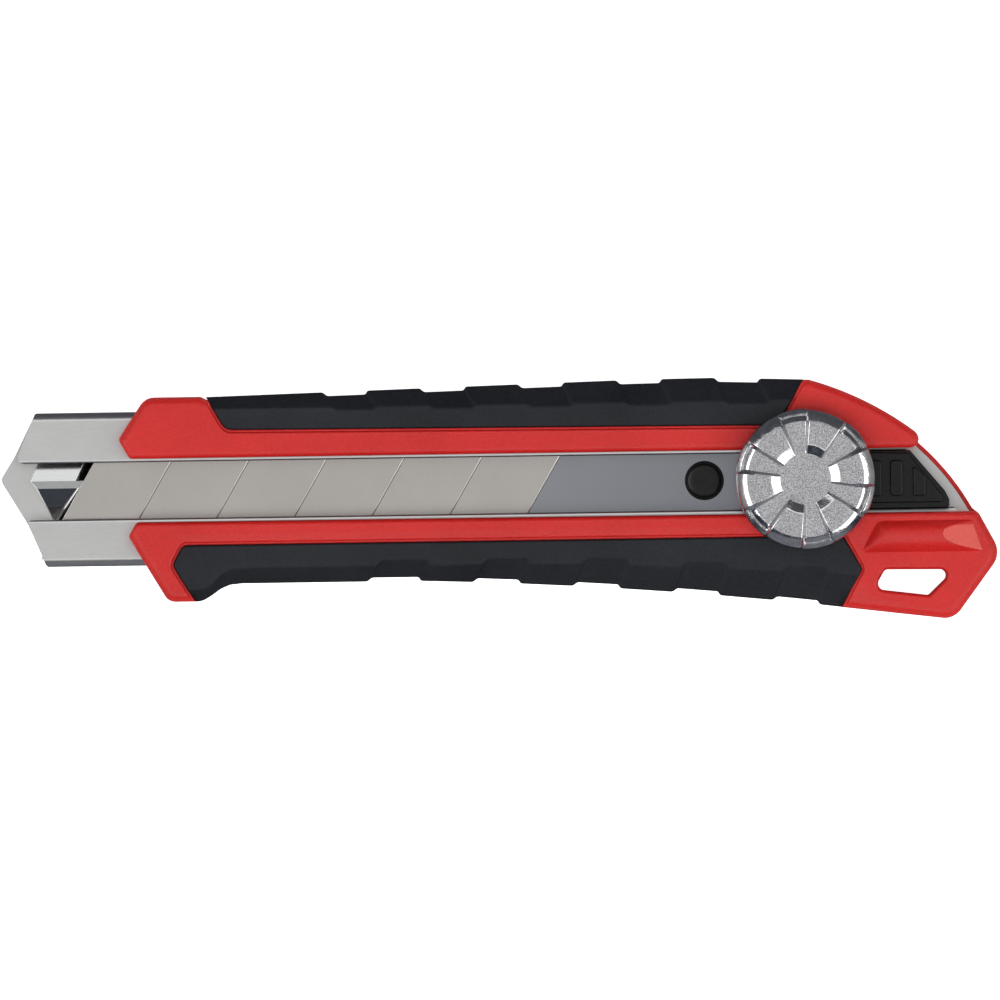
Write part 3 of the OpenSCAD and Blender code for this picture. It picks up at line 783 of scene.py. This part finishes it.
def peg():
    """Peg through the blade's hole, with a domed head over a neck and a foot."""
    foot_r, neck_r, edge = 3.1, 2.2, 0.75
    foot_top, head_foot, head_edge = PEG_LO.z + 0.6, PEG_HI.z - 1.6, PEG_HI.z - 0.6
    profile = [(foot_r, PEG_LO.z), (foot_r, foot_top), (neck_r, foot_top)]
    profile += [(neck_r, head_foot), (PEG_R, head_foot), (PEG_R, head_edge)]
    for a in (0.5, 1.0, 1.57):
        profile.append((PEG_R - edge + edge * math.cos(a), head_edge + 0.5 * math.sin(a)))
    profile += [(1.6, PEG_HI.z), (1.3, PEG_HI.z - 0.05), (0.3, PEG_HI.z - 0.07)]
    piece = turned("peg", (PEG_X, 0), profile)
    return dress(piece, "carriage", BLACK, "black_plastic", "blade_peg", smooth=60)


def carrier():
    """Black carrier: tongue under the blade, block under the wheel and the ribbed tail."""
    tongue_top, flange_top, block_top = Z_LIP - 1.3, Z_LIP - 0.3, Z_RAIL - 0.7
    over_lips, tail_top = Z_LIP_TOP + 0.1, Z_RAIL - 2
    slot_gap, rail_gap, corner = 0.25, 0.3, 0.5
    slot_low, slot_high = SLOT_LO + slot_gap, SLOT_HI - slot_gap
    rail_low, rail_high = WIN_LO + rail_gap, WIN_HI - rail_gap
    front, rear, pocket_front, pocket_rear = 45.6, 66, 47.3, 62.9

    tongue = [(29, -8), (32, -11.6), (46, -11.6), (46, 11.6), (32, 11.6), (29, 8)]
    body = slab("carrier", tongue, CARRIER_FLOOR, tongue_top, high=0.3)
    combine(body, block((44.6, -12, CARRIER_FLOOR - 0.01), (64.8, 12, flange_top)), "UNION")
    combine(body, block((front, slot_low, flange_top - 0.5), (rear, slot_high, Z_LIP_TOP + 1)), "UNION")
    top = [(front, rail_low, corner), (rear, rail_low, corner)]
    top += [(rear, rail_high, corner), (front, rail_high, corner)]
    combine(body, slab("top", top, over_lips, block_top, high=0.5), "UNION")
    neck = [(pocket_rear, slot_low), (81, slot_low, 0.5), (81, -4, 0.8), (80.2, -2.4, 1)]
    neck += [(73.4, slot_high), (pocket_rear, slot_high)]
    combine(body, slab("neck", neck, flange_top, Z_LIP_TOP + 0.3), "UNION")
    combine(body, tail(pocket_rear, over_lips, tail_top), "UNION")

    # Pockets for the nut and the saddle plate, and the hole for the stud
    combine(body, block((pocket_front, -7.8, CARRIER_FLOOR - 1), (pocket_rear, 7.8, over_lips)))
    combine(body, block((pocket_front, -9, Z_LIP_TOP), (pocket_rear, 9, Z_LIP_TOP + 1.3)))
    stud_hole = arc((STUD_X, 0), 2.65, 0, 345, 23)
    combine(body, skin("hole", [at_height(stud_hole, z) for z in (Z_LIP_TOP, Z_RAIL)]))
    return dress(body, "carriage", BLACK, "black_plastic", "blade_carrier")


def tail(front, bottom, top):
    """Ribbed tail behind the wheel: a slab, a smaller raised face on it and three ribs."""
    low, high = WIN_LO + 0.5, WIN_HI - 0.45
    outline = [(front, low), (81, low, 0.5), (81, -4, 0.8), (80.2, -2.4, 1), (74, high, 0.5), (front, high)]
    piece = slab("tail", outline, bottom, top - 0.5, high=0.2, steps=3)
    face = [(front, low + 1), (79.3, low + 1, 0.6), (80, -4.3, 0.6), (79.5, -2.9, 0.8)]
    face += [(73.6, high - 0.45, 0.4), (front, high - 0.2)]
    combine(piece, slab("face", face, top - 1, top, high=0.3, steps=4), "UNION")
    ribs = [[(x, -3.3, 0.7), (x + 2.3, -3.3, 0.7), (x + 2.3, 3.2, 0.7), (x, 3.2, 0.7)] for x in (66.6, 70.4)]
    ribs.append([(74.5, -3.3, 0.4), (76.8, -3.3, 0.4), (76.8, 0.2, 0.6), (75.1, 1.9, 0.4), (74.5, 1.9, 0.2)])
    for rib in ribs:
        combine(piece, slab("rib", rib, top - 0.4, top + 0.6, high=0.3, steps=4), "UNION")
    return piece


# ---------- lock wheel ----------

# Angles of the sectors in degrees; every other one is a raised lobe, the rest are gaps
SECTOR, FIRST_SECTOR = 30, -5
LOBE_HEIGHT = 0.9

# Points of a section, counted from the centre: the lobe's inner ramp, and the end of the grained face
RAMP_START, RAMP_END, GRAIN_END = 2, 4, 7


def shoulder(r, z, reach):
    """Points of a rounded shoulder that runs outwards from radius r, tilting down in equal steps."""
    first, step = 14, 5
    start = math.radians(first)
    tilts = [math.radians(first + step * i) for i in range(1, 10)]
    bend = reach / (math.sin(tilts[-1]) - math.sin(start))
    points = []
    for tilt in tilts:
        out, down = math.sin(tilt) - math.sin(start), math.cos(start) - math.cos(tilt)
        points.append((r + bend * out, z - bend * down))
    return points


def wheel_profiles():
    """Sections through a lobe and a gap as (radius, z) points, from the centre of the face to the back."""
    radius, top, base = WHEEL_HI.y, WHEEL_HI.z, WHEEL_LO.z + 0.5
    low, face_edge = top - LOBE_HEIGHT, radius - 2.3
    lobe = [(0.01, low), (4.4, low), (4.6, low + 0.06), (6.0, top - 0.08)]
    lobe += [(6.35, top), (8.3, top), (face_edge, top)]
    lobe += shoulder(face_edge, top, 2.1)
    lobe += [(radius - 0.15, top - drop) for drop in (1.8, 2.0, 2.2, 2.4)]
    gap = [(r, low) for r in (0.01, 4.4, 4.6, 6.05, 6.35, 8.3, face_edge)]
    gap += shoulder(face_edge, low, 1.2)
    gap += [(radius - 0.95, low - 1.2), (radius - 0.8, low - 0.8)]
    gap += [(radius - 0.2, low - 1.15), (radius, low - 1.4)]
    wall = [(radius, base + 0.7), (radius - 0.2, base + 0.2), (radius - 0.9, base)]
    return lobe + wall, gap + wall


def wheel_angles():
    """Angles of the wheel's sections, closest together beside the ends of the sectors."""
    beside = [0, 0.4, 0.8, 1.3, 1.8, 2.4, 3.0, 3.8, 4.6, 6, 9, 12, 15]
    offsets = beside + [SECTOR - offset for offset in beside[1:-1]]
    starts = range(0, 360, SECTOR)
    return sorted({round(start + offset, 3) for start in starts for offset in offsets})


def from_flank(angle):
    """Degrees to the nearer end of the sector."""
    return min(angle % SECTOR, SECTOR - angle % SECTOR)


def wheel_section(angle, lobe, gap):
    """Points of the wheel at an angle; in a gap they slope away from the lobes beside it."""
    turn = math.radians(angle + FIRST_SECTOR)
    away = 0 if angle % (2 * SECTOR) <= SECTOR else from_flank(angle)
    points = []
    for (lobe_r, lobe_z), (gap_r, gap_z) in zip(lobe, gap):
        slope = 0.28 + 0.055 * lobe_r
        t = min(lobe_r * math.radians(away) / slope, 1)
        share = t * t * (3 - 2 * t)
        r = lobe_r + (gap_r - lobe_r) * share
        z = lobe_z + (gap_z - lobe_z) * share
        points.append((STUD_X + r * math.cos(turn), r * math.sin(turn), z))
    return points


def is_bright(angle, point):
    """Whether a facet is plain plate: the rim, a lobe's inner ramp or the flank of a gap."""
    if point >= GRAIN_END:
        return True
    if angle % (2 * SECTOR) < SECTOR:
        return RAMP_START <= point < RAMP_END
    return point >= RAMP_START and from_flank(angle) < 3.8


def wheel():
    """Knob with six raised lobes, between them flat faces that end in a lower rim band."""
    lobe, gap = wheel_profiles()
    angles = wheel_angles()
    bm = bmesh.new()
    rows = [[bm.verts.new(p) for p in wheel_section(angle, lobe, gap)] for angle in angles]
    for angle, row, after in zip(angles, rows, rows[1:] + rows[:1]):
        for i in range(len(row) - 1):
            face = bm.faces.new((row[i], row[i + 1], after[i + 1], after[i]))
            face.material_index = 1 if is_bright(angle, i) else 0
    bm.faces.new([row[-1] for row in rows])
    bmesh.ops.contextual_create(bm, geom=[row[0] for row in rows])
    knob = new_piece("wheel", bm)
    knob.data.materials.append(WHEEL_GRAIN)
    knob.data.materials.append(WHEEL_BRIGHT)
    inner, outer, foot, top = 3, 5, WHEEL_LO.z, WHEEL_LO.z + 1.5
    hub = turned("hub", (STUD_X, 0), [(inner, top), (outer, top), (outer, foot), (inner, foot)])
    hub.data.materials.append(WHEEL_BRIGHT)
    dress(knob, "wheel", WHEEL_GRAIN, "plated_metal", "lock_wheel", smooth=40)
    dress(hub, "wheel", WHEEL_BRIGHT, "plated_metal")


def paint(node, material):
    """Gives a CAD node that is shown as it is a node material."""
    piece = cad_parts[node]
    piece.data.materials.clear()
    piece.data.materials.append(material)


handle()
grip("upper", upper_edges(), 4, UPPER_ZONE)
grip("lower", lower_edges(), -4, LOWER_ZONE)
channel()
nose_ramp()
blade()
peg()
carrier()
wheel()
for hidden in ("channel_screws", "saddle_plate", "clamp_nut", "lock_stud", "wave_washer", "flat_washer"):
    paint(hidden, PLATED_STEEL)

# ---------- stage ----------


def stage():
    """Pale floor with a slight glow of its own, which keeps the ground white around the knife."""
    half, below = 6.0, 0.0002
    corners = [(-half, -half, 0), (half, -half, 0), (half, half, 0), (-half, half, 0)]
    mesh = bpy.data.meshes.new("floor")
    mesh.from_pydata(corners, [], [(0, 1, 2, 3)])
    floor = bpy.data.objects.new("floor", mesh)
    bpy.context.scene.collection.objects.link(floor)
    floor.location.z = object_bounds()[0][2] - below
    finish = Finish("floor", rgb(250, 250, 250), 0.9, specular=0.1)
    finish.shader.inputs["Emission Color"].default_value = (1, 1, 1, 1)
    finish.shader.inputs["Emission Strength"].default_value = 1.0
    mesh.materials.append(finish.material)
    floor.visible_glossy = False
    floor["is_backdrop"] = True


def area_light(name, place, size, power, glossy=True):
    """Soft light aimed at the knife."""
    data = bpy.data.lights.new(name, "AREA")
    data.shape = "RECTANGLE"
    data.size, data.size_y = size
    data.energy = power
    lamp = bpy.data.objects.new(name, data)
    lamp.location = place
    lamp.rotation_euler = (-Vector(place)).to_track_quat("-Z", "Y").to_euler()
    lamp.visible_glossy = glossy
    lamp.visible_camera = False
    bpy.context.scene.collection.objects.link(lamp)


def surround():
    """Surround for reflections: grey overhead, brighter round it, dim beyond the knife's long sides."""
    world = bpy.data.worlds.new("surround")
    world.use_nodes = True
    tree = world.node_tree
    axes = tree.nodes.new("ShaderNodeSeparateXYZ")
    tree.links.new(tree.nodes.new("ShaderNodeTexCoord").outputs["Generated"], axes.inputs[0])

    def ramp(value, stops):
        node = tree.nodes.new("ShaderNodeValToRGB")
        tree.links.new(value, node.inputs[0])
        for position, _ in stops[1:-1]:
            node.color_ramp.elements.new(position)
        for element, (position, level) in zip(node.color_ramp.elements, stops):
            element.position = position
            element.color = (*level, 1) if isinstance(level, tuple) else (level, level, level, 1)
        return node.outputs[0]

    def mix(kind, first, second):
        node = tree.nodes.new("ShaderNodeMix")
        node.data_type = "RGBA"
        node.blend_type = kind
        node.inputs[0].default_value = 1
        tree.links.new(first, node.inputs[6])
        tree.links.new(second, node.inputs[7])
        return node.outputs[2]

    sideways = tree.nodes.new("ShaderNodeMapRange")
    tree.links.new(axes.outputs[1], sideways.inputs[0])
    sideways.inputs["From Min"].default_value = -1
    heights = [(0.0, 0.12), (0.5, 0.2), (0.8, 0.4), (0.86, 0.55), (0.95, 0.55), (0.985, 0.26), (1.0, 0.25)]
    dome = ramp(axes.outputs[2], heights)
    open_part = ramp(sideways.outputs[0], [(0.0, 0), (0.24, 0), (0.29, 1), (0.74, 1), (0.77, 0), (1.0, 0)])
    low_front, front, back = (0.09, 0.093, 0.105), (0.014, 0.017, 0.024), (0.04, 0.041, 0.046)
    levels = [(0.0, low_front), (0.1, low_front), (0.16, front), (0.24, front)]
    levels += [(0.29, 0), (0.74, 0), (0.77, back), (1.0, back)]
    dim_part = ramp(sideways.outputs[0], levels)
    background = tree.nodes["Background"]
    tree.links.new(mix("ADD", mix("MULTIPLY", dome, open_part), dim_part), background.inputs[0])
    background.inputs[1].default_value = 2
    world.cycles_visibility.diffuse = False
    bpy.context.scene.world = world


def camera():
    """Straight down from far off through a long lens, turned slightly about its own axis."""
    distance, tilt = 6.0, -0.84
    data = bpy.data.cameras.new("camera")
    data.lens = 1200
    data.sensor_width = 36
    view = bpy.data.objects.new("camera", data)
    view.location = (0.00015, -0.00296, distance + Z_LIP_TOP * MM)
    view.rotation_euler = (0, 0, math.radians(tilt))
    bpy.context.scene.collection.objects.link(view)
    bpy.context.scene.camera = view


stage()
camera()
surround()
area_light("right", place=(1.05, -0.32, 1.05), size=(1.7, 0.8), power=10.2)
area_light("left", place=(-1.05, -0.05, 1.05), size=(1.3, 0.8), power=8)
area_light("top", place=(0.05, -0.3, 1.3), size=(1.1, 0.8), power=11.5, glossy=False)
bpy.context.scene.view_settings.view_transform = "Standard"
